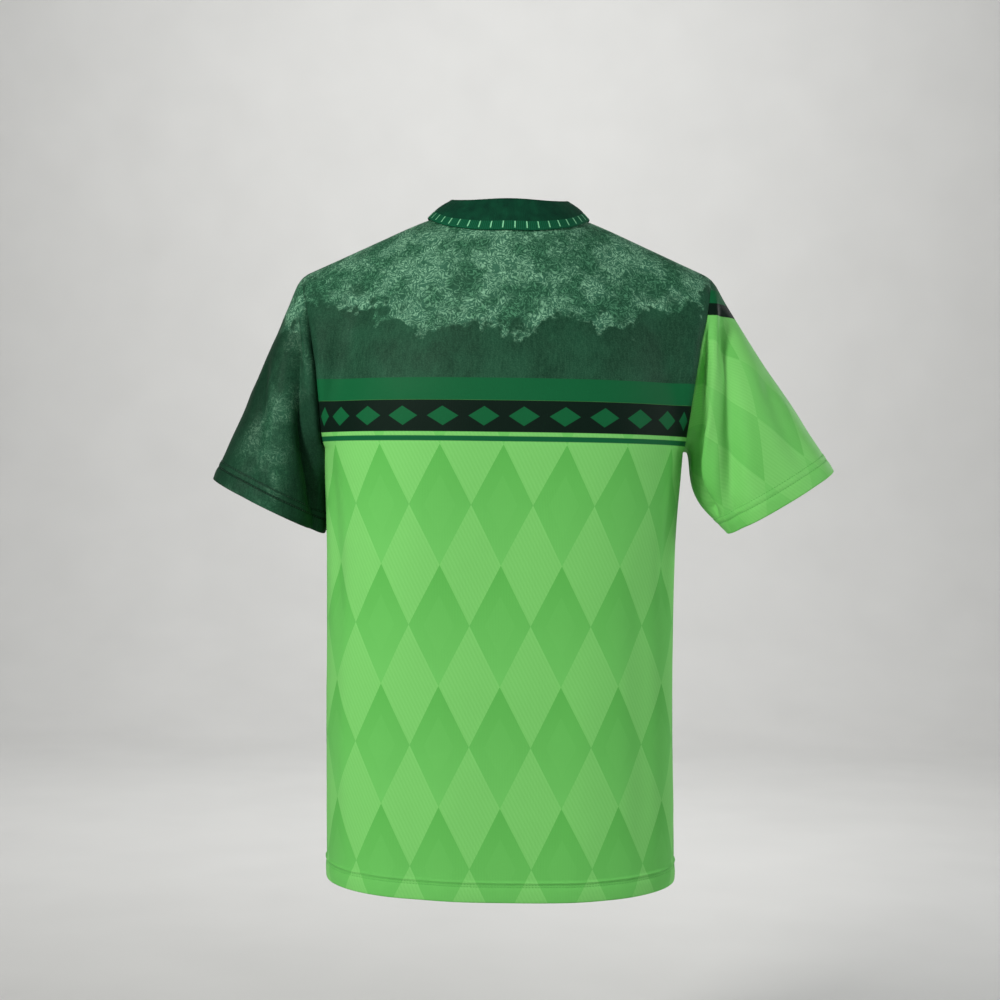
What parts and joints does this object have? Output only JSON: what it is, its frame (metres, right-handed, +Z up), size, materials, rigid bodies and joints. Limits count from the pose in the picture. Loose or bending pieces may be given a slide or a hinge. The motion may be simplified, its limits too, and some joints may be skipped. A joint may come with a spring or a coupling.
{
  "type": "football jersey",
  "caption": "Short-sleeved knit football jersey with a fold-over collar, in its hollow worn form, open at the neck, cuffs and hem.",
  "frame": {"origin": "middle of the neck opening, level with the ends of the collar on the shoulders, where the wearer holds the garment", "axes": "+Z up the wearer's body, +Y the way the wearer faces, +X towards the wearer's right; the side in the picture faces -Y"},
  "size_m": [0.6438, 0.2576, 0.7018],
  "materials": {
    "body_green": "satin polyester knit, bright green with tonal lozenges, dark hoops and a dark yoke",
    "yoke_green": "satin polyester knit, dark green with a soft cloudy marl",
    "collar_green": "matt rib knit, dark green with a ribbed edge and light ticks"
  },
  "bodies": {
    "root": {"back": "body_green", "front": "body_green", "sleeve_left": "yoke_green", "sleeve_right": "body_green", "collar": "collar_green"}
  },
  "joints": []
}
